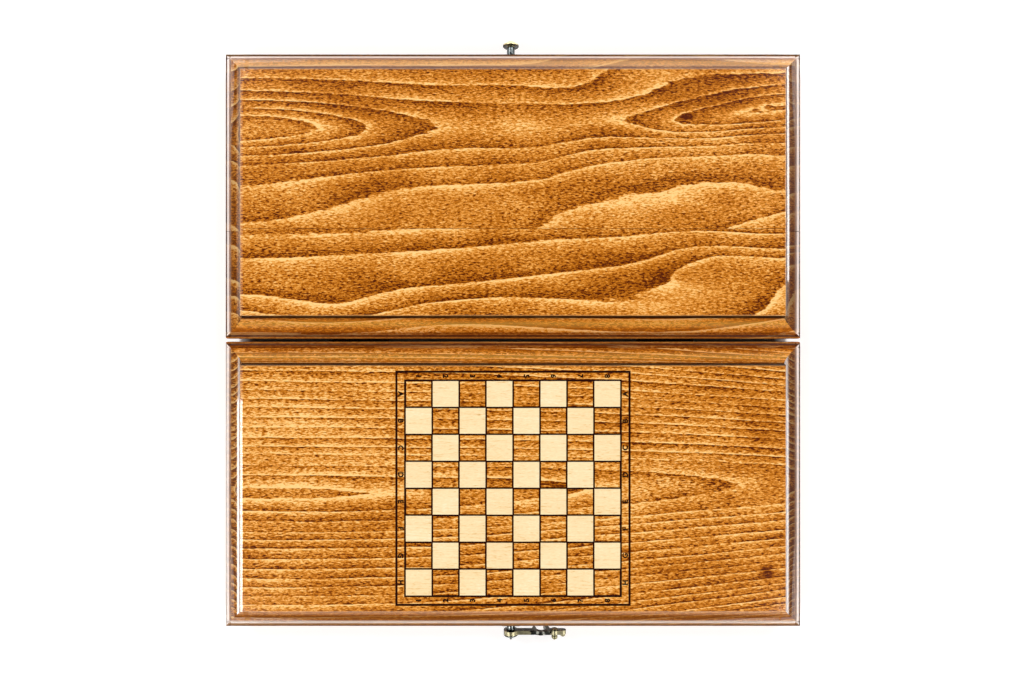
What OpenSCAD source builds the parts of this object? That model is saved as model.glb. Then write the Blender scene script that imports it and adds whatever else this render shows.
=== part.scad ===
// Folding backgammon case, laid open and face down: two shallow beech trays joined by two butt
// hinges, a plain outer panel on one, a small chessboard on the other, and a stud and swing hook
// that hold it shut. The hinge line runs along X. The rims face down and the moulded panels up.

/* [Case] */
// Width of the case along the hinges
case_w = 400; // [340:5:520]
// Depth of one tray, from its hinge side to its front
tray_d = 198; // [186:1:260]
// Height of the tray walls under the panel
wall_h = 17; // [16:0.5:30]
// Thickness of the tray walls
wall_t = 10; // [9:0.5:13]
// Rounding of the upright outer corners
corner_r = 2; // [0.5:0.5:4]
// Box joint fingers in the height of a wall
finger_count = 3; // [3:2:7]
// Space between the two back walls when the case lies open
back_gap = 2; // [1.6:0.1:3]
// Space left between the two rims when the case is shut
closed_gap = 0.3; // [0.2:0.05:0.6]

/* [Panel moulding] */
// Upright flat under the bead
bead_base = 1; // [0.5:0.25:3]
// Radius of the bead that runs round the panel
bead_r = 3; // [2:0.25:4]
// Flat on top of the bead
bead_flat = 0.4; // [0.2:0.1:1]
// Half the width of the fine groove inside the bead
quirk_r = 0.55; // [0.3:0.05:0.8]
// Depth of the fine groove
quirk_d = 0.9; // [0.8:0.1:1.5]
// Radius of the hollow between the bead and the raised field
cove_r = 11; // [8:0.5:12]
// Upright step from the hollow to the raised field
field_step = 1; // [0.5:0.25:2]
// Rounding of the raised field's edge
arris_r = 0.4; // [0.1:0.1:0.5]
// Width of the narrower of the two staves that the plain panel is glued up from
stave_w = 74.3; // [40:0.1:120]

/* [Playing field] */
// Thickness of the board that lines each tray
board_t = 3; // [2:0.5:5]
// Thickness of the inlaid points and squares
inlay_t = 0.6; // [0.4:0.1:1.2]
// Space between the tips of two facing points
tip_gap = 80; // [40:5:120]
// Space between the feet of two neighbouring points
foot_gap = 1.6; // [0.6:0.2:4]

/* [Chessboard] */
// Pitch of the squares
square_p = 18.2; // [14:0.1:18.5]
// Distance from the outer squares to the frame line
frame_in = 5.9; // [4:0.1:7]
// Width of the burnt lines
line_w = 0.9; // [0.5:0.1:1.5]
// Depth of the burnt lines
line_d = 0.3; // [0.1:0.05:0.4]

/* [Hinges] */
// Distance of each hinge from the middle of the case
hinge_x = 110; // [60:5:140]
// Length of a hinge
hinge_l = 40; // [32:1:60]
// Thickness of a hinge leaf
leaf_t = 1; // [0.8:0.1:1.4]
// Wood left between a leaf's edge and the inside of the wall
leaf_edge = 1.4; // [0.6:0.1:2]
// Diameter of the hinge barrel
barrel_d = 3.2; // [3:0.1:4]
// Diameter of the hinge pin
pin_d = 1.6; // [1.2:0.1:1.9]
// Radius that the peened ends of a pin stand out over it
pin_lip = 0.35; // [0.2:0.05:0.4]
// Thickness of the peened ends of a pin
pin_end = 0.4; // [0.2:0.05:0.8]
// Radial running clearance of a pin
pin_fit = 0.05; // [0.02:0.01:0.1]
// Space between neighbouring knuckles
knuckle_fit = 0.3; // [0.15:0.05:0.5]
// Space between the barrel and the hollow cut for it
barrel_fit = 0.7; // [0.5:0.1:1.2]
// Distance between the two screws of a leaf
screw_p = 24; // [16:1:26]
// Diameter of a hinge screw
screw_d = 2.4; // [2:0.1:2.8]
// Diameter of a hinge screw's head
screw_head_d = 4.8; // [4:0.1:5.2]
// Length of a hinge screw
screw_l = 9; // [6:0.5:12]
// Width of a hinge screw's slot
slot_w = 0.6; // [0.4:0.1:0.9]
// Depth of a hinge screw's slot
slot_d = 0.5; // [0.3:0.1:0.7]
// Clearance of a fixed piece in its seat
seat_fit = 0.05; // [0.02:0.01:0.1]

/* [Latch] */
// Place of the latch along the front
latch_x = -1.5; // [-40:0.5:40]
// How far the stud, the pivot and the grip stand out from the front
latch_out = 12.6; // [12.2:0.1:15]
// Height of the stud above the rim
stud_h = 10; // [7.5:0.1:10]
// Height of the hook's pivot above the rim
pivot_h = 11.2; // [9.5:0.1:12]
// Diameter of the stud's neck
neck_d = 5.6; // [4.6:0.1:6]
// Diameter of the stud's foot
foot_d = 7.8; // [7:0.1:9]
// Thickness of the stud's foot
foot_t = 0.8; // [0.5:0.1:1.2]
// Diameter of the stud's brim
brim_d = 11.5; // [10:0.1:13]
// Thickness of the stud's brim
brim_t = 1.6; // [1.2:0.1:2]
// Diameter of the stud's domed cap
dome_d = 9; // [7:0.1:9.8]
// Length of the tang that the stud and the pivot have in the wood
tang_l = 8; // [5:0.5:8.5]
// Diameter of that tang
tang_d = 3; // [2.4:0.1:3.2]
// Distance from the front to the back of the hook
hook_off = 5.5; // [4.5:0.1:6]
// Thickness of the hook
hook_t = 2.8; // [2:0.1:3]
// Space at each end of the hook on its pivot
end_fit = 0.1; // [0.05:0.05:0.2]
// Space between the hook and the back of the stud's brim
brim_fit = 0.3; // [0.2:0.05:0.5]
// Space round the stud's neck in the hook's slot
neck_fit = 0.5; // [0.3:0.05:0.8]
// Radius of the hook's eye
eye_r = 5.1; // [4.4:0.1:5.6]
// Height of the hook's arm
arm_h = 5; // [4:0.1:6.5]
// Metal round the hook's slot
slot_rim = 2.9; // [2:0.1:3.2]
// How far the slot's middle lies below the middle of the arm
slot_dip = 2.6; // [0:0.1:3.4]
// Height of the hook's tail where it leaves the slot
tail_h = 6; // [5:0.2:7]
// Distance from the slot to the middle of the rounded tip
tip_l = 15.2; // [14:0.1:20]
// Radius of the rounded tip
tip_r = 2.3; // [1.6:0.1:2.6]
// Distance from the middle of the rounded tip back to the grip
grip_back = 5.8; // [5:0.1:7]
// Radius of the round pad that carries the grip
pad_r = 3; // [2.6:0.1:3.4]
// Diameter of the grip's two collars
collar_d = 4.8; // [4:0.1:5]
// Diameter of the grip's neck
grip_neck_d = 2.6; // [2:0.1:3]
// Diameter of the grip's ball
grip_ball_d = 4.4; // [3.8:0.1:4.8]
// Diameter of the nib, the hook's tip bent outwards
nib_d = 4; // [2.4:0.1:4.4]
// How far the nib stands out from the hook
nib_h = 2.2; // [2:0.1:4]
// Angle by which the hook droops on its stiff pivot as the case lies open
droop = 0; // [0:0.5:14]
// Width of the latch's back plate
plate_w = 15.5; // [13:0.5:18]
// Height of the latch's back plate
plate_h = 11; // [9:0.5:11.5]
// Thickness of the latch's back plate
plate_t = 1; // [0.6:0.1:1.4]
// Rounding of the back plate's corners
plate_r = 2; // [0.5:0.5:3]
// Metal round the tang in the back plate's boss
boss_wall = 1.5; // [1:0.1:1.8]
// Flare where the boss meets the back plate
boss_flare = 0.4; // [0.2:0.1:0.5]
// Thickness of the rim of the pivot's acorn head
acorn_rim_t = 1; // [0.8:0.1:1.4]
// Diameter of the acorn over that rim
acorn_d = 7.6; // [6:0.2:9]
// Radius of the small ball that ends the acorn
bud_r = 0.8; // [0.6:0.1:1]
// Distance from the pivot to each nail
nail_x = 5.1; // [4.9:0.1:5.2]
// Diameter of a nail
nail_d = 1.2; // [1:0.1:1.6]
// Length of a nail in the wood
nail_l = 7; // [5:0.5:8]

/* [Hidden] */
$fn = 72;
over = 1;
finger_h = wall_h / finger_count;
barrel_r = barrel_d / 2;
pin_r = pin_d / 2;
axis_z = barrel_r;
rim_z = axis_z + closed_gap / 2;
panel_z = rim_z + wall_h;
bead_top = bead_base + bead_r;
cove_in = bead_r + bead_flat + 2 * quirk_r;
field_in = cove_in + cove_r;
panel_t = bead_top + cove_r + field_step;
top_z = panel_z + panel_t;
back_y = back_gap / 2;
front_y = back_y + tray_d;
mid_y = (back_y + front_y) / 2;
seam_y = back_y + stave_w;
inner_w = case_w - 2 * wall_t;
inner_d = tray_d - 2 * wall_t;
board_z = panel_z - board_t;
point_p = inner_d / 6;
point_l = (inner_w - tip_gap) / 2;
grid_w = 8 * square_p;
plate_in = barrel_r + knuckle_fit;
leaf_out = back_y + wall_t - leaf_edge;
screw_y = (back_y + barrel_r + leaf_out) / 2;
screw_head_l = (screw_head_d - screw_d) / 2;
screw_tip_l = 2 * screw_d;
screw_tip_r = screw_d / 5;
knuckle_l = hinge_l / 4;
pivot_z = rim_z + pivot_h;
stud_z = rim_z + stud_h;
slot_at = stud_h + pivot_h + closed_gap;
slot_r = neck_d / 2 + neck_fit;
slot_turn = asin(slot_dip / slot_at);
tip_at = slot_at + tip_l;
grip_at = tip_at - grip_back;
hook_front = hook_off + hook_t;
tang_r = tang_d / 2;
rivet_r = tang_r / 2;
bud_out = 1.4 * bud_r;

beech = "#c8803a";
pale_inlay = "#f8e0b0";
dark_inlay = "#6b3418";
hinge_brass = "#b8965a";
old_brass = "#8f6b38";
gunmetal = "#4b463b";

// A tray is drawn on the +Y side of the hinge line. The chess tray is its mirror image.
module on_chess_side() {
    mirror([0, 1, 0]) children();
}

// Upright block of a tray's outline, with its corners rounded
module tray_block(height) {
    linear_extrude(height) {
        translate([-case_w / 2 + corner_r, back_y]) square([case_w - 2 * corner_r, tray_d]);
        translate([-case_w / 2, back_y + corner_r]) square([case_w, tray_d - 2 * corner_r]);
        for (x = [-1, 1], y = [back_y + corner_r, front_y - corner_r])
            translate([x * (case_w / 2 - corner_r), y]) circle(r = corner_r);
    }
}

// What the cutter takes from the panel's edge: x runs in from the wall's face, y up from the
// panel's underside. It leaves a bead, a fine groove, a hollow and the step to the raised field.
module edge_waste() {
    difference() {
        translate([-over, bead_base]) square([over + field_in, panel_t + over]);
        translate([bead_r, bead_base]) circle(r = bead_r);
        translate([bead_r, 0]) square([field_in, bead_top]);
        difference() {
            translate([cove_in, bead_base]) square([cove_r + over, bead_r + cove_r]);
            translate([cove_in, bead_top + cove_r]) circle(r = cove_r);
        }
    }
    translate([bead_r + bead_flat + quirk_r, bead_top - quirk_d + quirk_r]) {
        circle(r = quirk_r);
        translate([-quirk_r, 0]) square([2 * quirk_r, quirk_d]);
    }
    difference() {
        translate([field_in - over, panel_t - arris_r]) square([over + arris_r, arris_r + over]);
        translate([field_in + arris_r, panel_t - arris_r]) circle(r = arris_r);
    }
}

// The same waste as a bar along X, with the panel on its +Y side
module edge_bar(length) {
    rotate([90, 0, 90]) linear_extrude(length + 2 * over, center = true) edge_waste();
}

module moulded_panel() {
    translate([0, 0, panel_z]) difference() {
        tray_block(panel_t);
        translate([0, back_y, 0]) edge_bar(case_w);
        translate([0, front_y, 0]) mirror([0, 1, 0]) edge_bar(case_w);
        for (side = [0, 1]) mirror([side, 0, 0])
            translate([-case_w / 2, mid_y, 0]) rotate([0, 0, -90]) edge_bar(tray_d);
    }
}

// Height band of one box joint finger, run past the wall's top and bottom edges
module finger_band(i, length, width) {
    below = i == 0 ? over : 0;
    above = i == finger_count - 1 ? over : 0;
    translate([0, 0, rim_z + i * finger_h - below])
        cube([length, width, finger_h + below + above]);
}

// Wall along X, which keeps the lowest and highest fingers
module long_wall(y) {
    intersection() {
        translate([0, 0, rim_z]) tray_block(wall_h);
        difference() {
            translate([-case_w / 2, y, rim_z]) cube([case_w, wall_t, wall_h]);
            for (i = [1:2:finger_count - 2], x = [-case_w / 2 - over, case_w / 2 - wall_t])
                translate([x, y - over, 0]) finger_band(i, wall_t + over, wall_t + 2 * over);
        }
    }
}

// Wall along Y, which keeps the fingers between
module side_wall(side) {
    x = side * (case_w - wall_t) / 2;
    intersection() {
        translate([0, 0, rim_z]) tray_block(wall_h);
        difference() {
            translate([x - wall_t / 2, back_y, rim_z]) cube([wall_t, tray_d, wall_h]);
            for (i = [0:2:finger_count - 1], y = [back_y - over, front_y - wall_t])
                translate([x - wall_t / 2 - over, y, 0])
                    finger_band(i, wall_t + 2 * over, wall_t + over);
        }
    }
}

module at_hinges() {
    for (x = [-hinge_x, hinge_x]) translate([x, 0, 0]) children();
}

module at_screws() {
    for (x = [-screw_p / 2, screw_p / 2]) translate([x, screw_y, rim_z]) children();
}

// Bar along X, round the hinge axis
module axis_rod(radius, length) {
    translate([0, 0, axis_z]) rotate([0, 90, 0]) cylinder(r = radius, h = length, center = true);
}

// Countersunk hole for a hinge screw
module screw_hole() {
    translate([0, 0, -over]) cylinder(r = screw_d / 2 + seat_fit, h = screw_l + over + seat_fit);
    cylinder(r1 = screw_head_d / 2 + seat_fit, r2 = screw_d / 2 + seat_fit, h = screw_head_l);
    translate([0, 0, -over]) cylinder(r = screw_head_d / 2 + seat_fit, h = over);
}

// Hollow in a back wall for one hinge: the leaf's seat, the barrel's clearance and the screw holes
module hinge_seat() {
    translate([-hinge_l / 2 - seat_fit, 0, rim_z - over])
        cube([hinge_l + 2 * seat_fit, leaf_out + seat_fit, leaf_t + over]);
    axis_rod(barrel_r + barrel_fit, hinge_l + 2 * (pin_end + knuckle_fit));
    at_screws() screw_hole();
}

module back_wall() {
    difference() {
        long_wall(back_y);
        at_hinges() hinge_seat();
    }
}

// Hinge leaf with its knuckles, each a pair of its middle and its length along X
module hinge_leaf(knuckles) {
    difference() {
        union() {
            translate([-hinge_l / 2, plate_in, rim_z])
                cube([hinge_l, leaf_out - plate_in, leaf_t]);
            for (k = knuckles) translate([k[0], 0, 0]) {
                translate([-k[1] / 2, 0, rim_z]) cube([k[1], plate_in + over, leaf_t]);
                axis_rod(barrel_r, k[1]);
            }
        }
        axis_rod(pin_r + pin_fit, hinge_l + 2 * over);
        at_screws() screw_hole();
    }
}

module plain_leaf() {
    hinge_leaf([[0, hinge_l - 2 * knuckle_l - 2 * knuckle_fit]]);
}

module chess_leaf() {
    on_chess_side() hinge_leaf([
        [-(hinge_l - knuckle_l) / 2, knuckle_l],
        [(hinge_l - knuckle_l) / 2, knuckle_l]
    ]);
}

// Pin with peened ends
module hinge_pin() {
    axis_rod(pin_r, hinge_l + 2 * pin_end);
    for (side = [-1, 1]) translate([side * (hinge_l + pin_end) / 2, 0, 0])
        axis_rod(pin_r + pin_lip, pin_end);
}

// Slotted countersunk wood screw, with its head down at z = 0
module hinge_screw() {
    difference() {
        union() {
            cylinder(r1 = screw_head_d / 2, r2 = screw_d / 2, h = screw_head_l);
            cylinder(r = screw_d / 2, h = screw_l - screw_tip_l);
            translate([0, 0, screw_l - screw_tip_l])
                cylinder(r1 = screw_d / 2, r2 = screw_tip_r, h = screw_tip_l);
        }
        translate([-screw_head_d, -slot_w / 2, -over])
            cube([2 * screw_head_d, slot_w, over + slot_d]);
    }
}

module hinge_screws() {
    at_hinges() at_screws() hinge_screw();
}

// Twelve points, six along each short side. parity 0 gives the light ones, 1 the dark ones.
module points(parity, height) {
    for (side = [0, 1], i = [0:5]) if ((i + side) % 2 == parity)
        mirror([side, 0, 0])
            translate([-inner_w / 2, back_y + wall_t + (i + 0.5) * point_p, 0])
                linear_extrude(height) polygon([
                    [0, -(point_p - foot_gap) / 2],
                    [point_l, 0],
                    [0, (point_p - foot_gap) / 2]
                ]);
}

module play_board() {
    difference() {
        translate([-inner_w / 2, back_y + wall_t, board_z]) cube([inner_w, inner_d, board_t]);
        for (parity = [0, 1]) translate([0, 0, board_z - over]) points(parity, inlay_t + over);
    }
}

module inlaid_points(parity) {
    translate([0, 0, board_z]) points(parity, inlay_t);
}

// The pale squares. The corner squares next to the hinges at the left are dark.
module pale_squares(height) {
    for (row = [0:7], col = [0:7]) if ((row + col) % 2 == 1)
        translate([(col - 3.5) * square_p, (3.5 - row) * square_p, 0])
            linear_extrude(height) square(square_p - line_w, center = true);
}

// Lines between the squares, and the frame line round them
module burnt_lines(height) {
    linear_extrude(height) {
        for (i = [-4:4]) {
            translate([i * square_p, 0]) square([line_w, grid_w + line_w], center = true);
            translate([0, i * square_p]) square([grid_w + line_w, line_w], center = true);
        }
        difference() {
            square(grid_w + 2 * frame_in + line_w, center = true);
            square(grid_w + 2 * frame_in - line_w, center = true);
        }
    }
}

module on_chess_field(depth) {
    translate([0, -mid_y, top_z - depth]) children();
}

// A place on a tray's front: x and height, with z running out from the wood
module on_front(x, z) {
    translate([x, front_y, z]) rotate([-90, 0, 0]) children();
}

module at_latch() {
    on_chess_side() on_front(latch_x, pivot_z) children();
}

module tang_hole() {
    translate([0, 0, -tang_l - seat_fit]) cylinder(r = tang_r + seat_fit, h = tang_l + over);
}

module nail_holes(length) {
    for (x = [-nail_x, nail_x]) translate([x, 0, -length])
        cylinder(r = nail_d / 2 + seat_fit, h = length + plate_t + over);
}

// Half section of a low cap, r wide and h high, with a round top
module cap_section(r, h) {
    cap_r = (r * r + h * h) / (2 * h);
    intersection() {
        translate([0, h - cap_r]) circle(r = cap_r);
        square([r, h]);
    }
}

// Half section of a disc with a round rim
module disc_section(r, t) {
    square([r - t / 2, t]);
    translate([r - t / 2, t / 2]) circle(r = t / 2);
}

// Half section of a ball
module ball_section(r) {
    intersection() {
        circle(r = r);
        translate([0, -r]) square([r, 2 * r]);
    }
}

// Half section of the hollow where a post flares to its foot
module flare_section(post_r, flare) {
    difference() {
        square([post_r + flare, flare]);
        translate([post_r + flare, flare]) circle(r = flare);
    }
}

module latch_stud() {
    brim_at = hook_front + brim_fit;
    color(old_brass) on_front(latch_x, stud_z) rotate_extrude() {
        translate([0, -tang_l]) square([tang_r, tang_l]);
        square([foot_d / 2, foot_t]);
        square([neck_d / 2, brim_at]);
        translate([0, foot_t]) flare_section(neck_d / 2, (foot_d - neck_d) / 2);
        translate([0, brim_at]) disc_section(brim_d / 2, brim_t);
        translate([0, brim_at + brim_t])
            cap_section(dome_d / 2, latch_out - brim_at - brim_t);
    }
}

// Back plate with the boss that carries the hook clear of the wood
module latch_back_plate() {
    boss_r = tang_r + boss_wall;
    color(gunmetal) at_latch() difference() {
        union() {
            linear_extrude(plate_t) {
                square([plate_w - 2 * plate_r, plate_h], center = true);
                square([plate_w, plate_h - 2 * plate_r], center = true);
                for (x = [-1, 1], y = [-1, 1])
                    translate([x * (plate_w / 2 - plate_r), y * (plate_h / 2 - plate_r)])
                        circle(r = plate_r);
            }
            cylinder(r = boss_r, h = hook_off - end_fit);
            translate([0, 0, plate_t]) rotate_extrude() flare_section(boss_r, boss_flare);
        }
        tang_hole();
        cylinder(r = tang_r + seat_fit, h = hook_off);
        nail_holes(over);
    }
}

module latch_nails() {
    color(gunmetal) at_latch() for (x = [-nail_x, nail_x]) translate([x, 0, 0]) {
        translate([0, 0, -nail_l]) cylinder(r = nail_d / 2, h = nail_l + plate_t);
        translate([0, 0, plate_t]) rotate_extrude() cap_section(nail_d, nail_d / 2);
    }
}

// Pivot with an acorn head. Its tang runs through the back plate into the wood.
module latch_pivot() {
    head_at = hook_front + end_fit;
    acorn_h = latch_out - head_at - acorn_rim_t - bud_out;
    color(gunmetal) at_latch() rotate_extrude() {
        translate([0, -tang_l]) square([tang_r, tang_l + head_at]);
        translate([0, head_at]) disc_section(eye_r, acorn_rim_t);
        translate([0, head_at + acorn_rim_t]) cap_section(acorn_d / 2, acorn_h);
        translate([0, latch_out - bud_r]) ball_section(bud_r);
    }
}

// The hook, seen from the front with its pivot at the origin and its tip along +X. The slot is
// round the pivot, so that the stud's neck runs into it as the hook swings.
module hook_outline() {
    difference() {
        union() {
            circle(r = eye_r);
            translate([0, -arm_h / 2]) square([slot_at, arm_h]);
            rotate([0, 0, -slot_turn]) translate([slot_at, 0]) circle(r = slot_r + slot_rim);
            polygon([
                [slot_at, -tail_h / 2], [tip_at, -tip_r],
                [tip_at, tip_r], [slot_at, tail_h / 2]
            ]);
            translate([grip_at, 0]) circle(r = pad_r);
            translate([tip_at, 0]) circle(r = tip_r);
        }
        circle(r = tang_r + pin_fit);
        rotate([0, 0, -slot_turn]) {
            translate([slot_at, 0]) circle(r = slot_r);
            intersection() {
                difference() {
                    circle(r = slot_at + slot_r);
                    circle(r = slot_at - slot_r);
                }
                translate([0, -slot_at]) square([2 * slot_at, slot_at]);
            }
        }
        translate([grip_at, 0]) circle(r = rivet_r + seat_fit);
    }
}

// The hook stands open along the front, held by its stiff pivot
module at_hook() {
    translate([latch_x, -front_y, pivot_z]) rotate([90, droop, 0]) children();
}

module latch_hook() {
    nib_r = nib_d / 2;
    color(gunmetal) at_hook() translate([0, 0, hook_off]) {
        linear_extrude(hook_t) hook_outline();
        translate([tip_at, 0, 0]) rotate_extrude() {
            square([nib_r, hook_t + nib_h - nib_r]);
            translate([0, hook_t + nib_h - nib_r]) ball_section(nib_r);
        }
    }
}

// Turned knob, riveted through the hook
module latch_grip() {
    ball_r = grip_ball_d / 2;
    color(gunmetal) at_hook() translate([grip_at, 0, 0]) rotate_extrude() {
        translate([0, hook_off - foot_t]) disc_section(collar_d / 2, foot_t);
        translate([0, hook_off]) square([rivet_r, hook_t]);
        translate([0, hook_front]) {
            disc_section(collar_d / 2, foot_t);
            square([grip_neck_d / 2, latch_out - hook_front - ball_r]);
        }
        intersection() {
            translate([0, latch_out - ball_r]) ball_section(ball_r);
            translate([0, hook_front]) square([grip_ball_d, grip_ball_d]);
        }
    }
}

// All that lies beyond the plain panel's glue seam, as seen from the hinge line
module beyond_seam() {
    translate([-case_w, seam_y, panel_z - over]) cube([2 * case_w, tray_d, panel_t + 2 * over]);
}

module plain_panel_wide_stave() {
    color(beech) intersection() {
        moulded_panel();
        beyond_seam();
    }
}

module plain_panel_narrow_stave() {
    color(beech) difference() {
        moulded_panel();
        beyond_seam();
    }
}

module plain_back_wall() {
    color(beech) back_wall();
}

module plain_front_wall() {
    color(beech) difference() {
        long_wall(front_y - wall_t);
        on_front(latch_x, stud_z) tang_hole();
    }
}

module plain_left_wall() {
    color(beech) side_wall(-1);
}

module plain_right_wall() {
    color(beech) side_wall(1);
}

module plain_play_board() {
    color(beech) play_board();
}

module plain_light_points() {
    color(pale_inlay) inlaid_points(0);
}

module plain_dark_points() {
    color(dark_inlay) inlaid_points(1);
}

module chess_panel() {
    color(beech) difference() {
        on_chess_side() moulded_panel();
        on_chess_field(inlay_t) pale_squares(inlay_t + over);
        on_chess_field(line_d) burnt_lines(line_d + over);
    }
}

module chess_light_squares() {
    color(pale_inlay) on_chess_field(inlay_t) pale_squares(inlay_t);
}

module chess_back_wall() {
    color(beech) on_chess_side() back_wall();
}

module chess_front_wall() {
    color(beech) difference() {
        on_chess_side() long_wall(front_y - wall_t);
        at_latch() tang_hole();
        at_latch() nail_holes(nail_l + seat_fit);
    }
}

module chess_left_wall() {
    color(beech) on_chess_side() side_wall(-1);
}

module chess_right_wall() {
    color(beech) on_chess_side() side_wall(1);
}

module chess_play_board() {
    color(beech) on_chess_side() play_board();
}

module chess_light_points() {
    color(pale_inlay) on_chess_side() inlaid_points(1);
}

module chess_dark_points() {
    color(dark_inlay) on_chess_side() inlaid_points(0);
}

module left_hinge_plain_leaf() {
    color(hinge_brass) translate([-hinge_x, 0, 0]) plain_leaf();
}

module left_hinge_chess_leaf() {
    color(hinge_brass) translate([-hinge_x, 0, 0]) chess_leaf();
}

module left_hinge_pin() {
    color(hinge_brass) translate([-hinge_x, 0, 0]) hinge_pin();
}

module right_hinge_plain_leaf() {
    color(hinge_brass) translate([hinge_x, 0, 0]) plain_leaf();
}

module right_hinge_chess_leaf() {
    color(hinge_brass) translate([hinge_x, 0, 0]) chess_leaf();
}

module right_hinge_pin() {
    color(hinge_brass) translate([hinge_x, 0, 0]) hinge_pin();
}

module plain_hinge_screws() {
    color(hinge_brass) hinge_screws();
}

module chess_hinge_screws() {
    color(hinge_brass) on_chess_side() hinge_screws();
}

plain_panel_wide_stave();
plain_panel_narrow_stave();
plain_back_wall();
plain_front_wall();
plain_left_wall();
plain_right_wall();
plain_play_board();
plain_light_points();
plain_dark_points();
chess_panel();
chess_light_squares();
chess_back_wall();
chess_front_wall();
chess_left_wall();
chess_right_wall();
chess_play_board();
chess_light_points();
chess_dark_points();
left_hinge_plain_leaf();
left_hinge_chess_leaf();
left_hinge_pin();
right_hinge_plain_leaf();
right_hinge_chess_leaf();
right_hinge_pin();
plain_hinge_screws();
chess_hinge_screws();
latch_stud();
latch_back_plate();
latch_nails();
latch_pivot();
latch_hook();
latch_grip();
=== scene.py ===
# %% [markdown]
# # A folding games case, laid open
#
# The case is two shallow beech trays joined by two small hinges. It lies open and face down,
# so what shows is the two moulded outer panels, one of them with a chessboard let into it.
# All the joinery comes from the CAD model. This lesson gives each piece the finish of the real
# one, adds the small marks round the chessboard, and sets up the table, the lamps and the camera.

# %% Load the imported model
import math

import bpy
from mathutils import Matrix, Vector


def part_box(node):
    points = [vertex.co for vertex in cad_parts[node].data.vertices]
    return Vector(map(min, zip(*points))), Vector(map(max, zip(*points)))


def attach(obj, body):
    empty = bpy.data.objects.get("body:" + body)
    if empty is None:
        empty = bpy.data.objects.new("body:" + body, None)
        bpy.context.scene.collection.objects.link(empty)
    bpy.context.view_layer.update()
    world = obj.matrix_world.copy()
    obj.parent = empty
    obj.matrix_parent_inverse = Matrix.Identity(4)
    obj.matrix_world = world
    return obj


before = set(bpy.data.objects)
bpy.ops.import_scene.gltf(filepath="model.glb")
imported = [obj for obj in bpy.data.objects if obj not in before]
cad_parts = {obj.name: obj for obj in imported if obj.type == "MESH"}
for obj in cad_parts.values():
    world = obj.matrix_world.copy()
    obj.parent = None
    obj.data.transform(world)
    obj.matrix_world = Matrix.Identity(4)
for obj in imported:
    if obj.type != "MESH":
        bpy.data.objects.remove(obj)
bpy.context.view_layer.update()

print("pieces from the CAD model:", len(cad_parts))

# %% [markdown]
# ## Colours and nodes
#
# A colour is easiest to judge as the hex value that a paint chart gives, but the renderer works
# with linear light. One function turns the first into the second. Another adds a node, sets it,
# and links or fills its inputs, so that a finish can be read from top to bottom like a recipe.

# %% Helpers for colours and nodes
MM = 0.001


def colour(code, alpha=1.0):
    """Linear colour, with alpha, of an sRGB hex value."""
    parts = [int(code[i:i + 2], 16) / 255 for i in (0, 2, 4)]
    return [c / 12.92 if c < 0.04045 else ((c + 0.055) / 1.055) ** 2.4 for c in parts] + [alpha]


def ends_first(marks):
    """Marks in order, but with both ends in front: a new ramp or curve has just these two."""
    marks = sorted(marks)
    return marks[:1] + marks[-1:] + marks[1:-1]


def add_node(tree, kind, inputs=(), stops=(), points=(), **settings):
    """Adds a node. An input is a number, a colour, a node or a socket; stops fill a colour ramp,
    and points a curve."""
    node = tree.nodes.new(kind)
    for key, value in settings.items():
        setattr(node, key, value)
    for key, value in dict(inputs).items():
        if isinstance(value, bpy.types.Node):
            value = next(s for s in value.outputs if s.enabled)
        into = node.inputs[key] if isinstance(key, int) else next(
            s for s in node.inputs if s.name == key and s.enabled)
        if isinstance(value, bpy.types.NodeSocket):
            tree.links.new(value, into)
        else:
            into.default_value = value
    for i, (at, shade) in enumerate(ends_first(stops)):
        marks = node.color_ramp.elements
        mark = marks[i] if i < 2 else marks.new(at)
        mark.position, mark.color = at, shade
    for i, place in enumerate(ends_first(points)):
        curve = node.mapping.curves[0].points
        if i < 2:
            curve[i].location = place
        else:
            curve.new(*place)
    if points:
        node.mapping.update()
    return node


def new_finish(name):
    """An empty material, ready for a shader, and its tree of nodes."""
    finish = bpy.data.materials.new(name)
    finish.use_nodes = True
    finish.node_tree.nodes.clear()
    return finish, finish.node_tree


print("amber in linear light:", [round(c, 3) for c in colour("dc8d33")])

# %% [markdown]
# ## Measuring on a board
#
# Wood differs along the grain, across it and through the board, so the first thing a finish
# needs is where a point lies on its board. From there on all the measures are millimetres.
# Noise that is to look like wood is drawn out along the grain. A spot is an oval on the board
# where something is different, a knot for one.

# %% Places, noise and spots
ANY_DEPTH = 1e4  # so large that the depth makes no difference


def place_in_mm(tree, centre=(0, 0, 0), turn=0.0):
    """Where a point is, in mm from a centre given in metres, with X turned along the grain."""
    here = add_node(tree, "ShaderNodeTexCoord").outputs["Object"]
    return add_node(tree, "ShaderNodeMapping", {
        "Vector": here, "Location": centre, "Rotation": (0, 0, turn), "Scale": (MM, MM, MM)},
        vector_type="TEXTURE")


def stretched_noise(tree, board, size, offset=(0, 0, 0), **more):
    """Noise with blotches of a size, in mm along, across and through the board."""
    grid = add_node(tree, "ShaderNodeMapping", {
        "Vector": board, "Scale": size, "Location": offset}, vector_type="TEXTURE")
    return add_node(tree, "ShaderNodeTexNoise", {"Vector": grid, "Scale": 1, **more})


def spot_distance(tree, board, x, y, long, wide):
    """How far a point is from the middle of a spot: 0 there, and 1 on the spot's rim."""
    spot = add_node(tree, "ShaderNodeMapping", {
        "Vector": board, "Location": (x, y, 0), "Scale": (long, wide, ANY_DEPTH)},
        vector_type="TEXTURE")
    return add_node(tree, "ShaderNodeVectorMath", {0: spot}, operation="LENGTH").outputs["Value"]


print("a board's places are in units of", MM, "m")

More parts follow.
